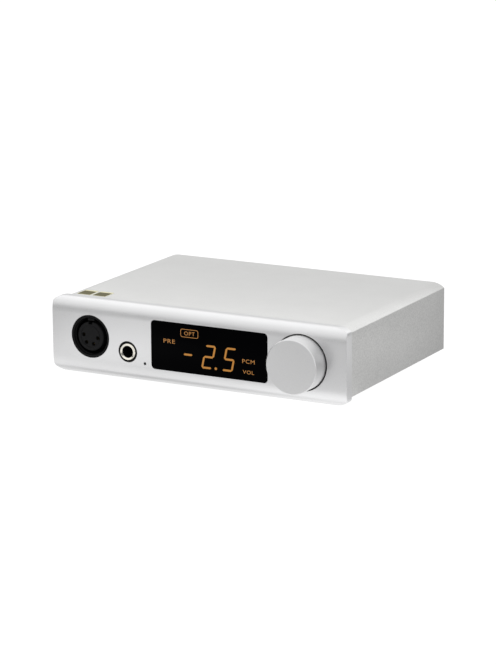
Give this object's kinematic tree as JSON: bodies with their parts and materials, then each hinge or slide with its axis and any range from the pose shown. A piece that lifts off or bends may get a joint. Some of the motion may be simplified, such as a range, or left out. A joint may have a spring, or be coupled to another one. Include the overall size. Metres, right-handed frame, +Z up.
{
  "type": "desktop dac",
  "caption": "Low desktop digital-to-analogue converter: thick crowned front plate, one-piece cover, display window, headphone sockets, rotary knob and rear sockets.",
  "frame": {"origin": "on the desk, at the middle of the whole device's width and depth", "axes": "+X to the right seen from the front, +Y from the front plate towards the rear sockets, +Z up"},
  "size_m": [0.1868, 0.1508, 0.0448],
  "materials": {
    "blasted_aluminium": "satin, bead blasted and clear anodised",
    "turned_aluminium": "fine turned, clear anodised",
    "steel": "plated",
    "chrome": "polished",
    "brass": "gold plated",
    "black_gloss": "polished acrylic",
    "black_plastic": "moulded",
    "rubber": "matte",
    "board": "solder mask",
    "foil": "metallised foil",
    "smoked_clear": "moulded light guide",
    "grey_ribbon": "flat cable"
  },
  "bodies": {
    "root": {"faceplate": "blasted_aluminium", "top_cover": "blasted_aluminium", "bottom_plate": "blasted_aluminium", "rear_panel": "blasted_aluminium", "amplifier_heatsink": "turned_aluminium", "faceplate_screw_left": "steel", "faceplate_screw_right": "steel", "rear_screw_low_left": "steel", "rear_screw_low_right": "steel", "rear_screw_high_left": "steel", "rear_screw_high_right": "steel", "encoder_nut": "steel", "encoder_body": "steel", "balanced_out_left": "steel", "balanced_out_right": "steel", "usb_socket": "steel", "board_screw_1": "steel", "board_screw_2": "steel", "board_screw_3": "steel", "board_screw_4": "steel", "headphone_jack_collar": "chrome", "line_out_upper": "brass", "line_out_lower": "brass", "coax_socket": "brass", "display_window": "black_gloss", "display_module": "black_plastic", "balanced_jack_shell": "black_plastic", "balanced_jack_insert": "black_plastic", "headphone_jack_body": "black_plastic", "knob_ring": "black_plastic", "optical_socket": "black_plastic", "rocker_frame": "black_plastic", "power_inlet": "black_plastic", "audio_processor_chip": "black_plastic", "dac_chip_left": "black_plastic", "dac_chip_right": "black_plastic", "output_relay_left": "black_plastic", "output_relay_right": "black_plastic", "filter_capacitor_left": "black_plastic", "filter_capacitor_right": "black_plastic", "power_transformer": "black_plastic", "power_capacitor": "black_plastic", "foot_front_left": "rubber", "foot_front_right": "rubber", "foot_back_left": "rubber", "foot_back_right": "rubber", "front_board": "board", "main_board": "board", "power_board": "board", "foil_label_outer": "foil", "foil_label_inner": "foil", "status_light_pipe": "smoked_clear", "ribbon_cable": "grey_ribbon"},
    "push_stem": {"encoder_push_stem": "black_plastic"},
    "knob": {"volume_knob": "turned_aluminium", "knob_grub_screw": "steel", "encoder_shaft": "turned_aluminium"},
    "rocker": {"power_rocker": "black_plastic"},
    "shutter": {"optical_shutter": "black_plastic"}
  },
  "joints": [
    {"name": "knob_push", "type": "slide", "parent": "root", "child": "push_stem", "axis": [0, 1, 0], "range_m": [0, 0.0005]},
    {"name": "knob_turn", "type": "hinge", "parent": "push_stem", "child": "knob", "pos_m": [0.0654, -0.0642, 0.023], "axis": [0, 1, 0], "continuous": true},
    {"name": "power_rocker_tip", "type": "hinge", "parent": "root", "child": "rocker", "pos_m": [0.043, 0.0642, 0.0228], "axis": [-1, 0, 0], "range_deg": [0, 20]},
    {"name": "shutter_swing", "type": "hinge", "parent": "root", "child": "shutter", "pos_m": [0.0095, 0.0656, 0.0185], "axis": [-1, 0, 0], "range_deg": [0, 80]}
  ]
}
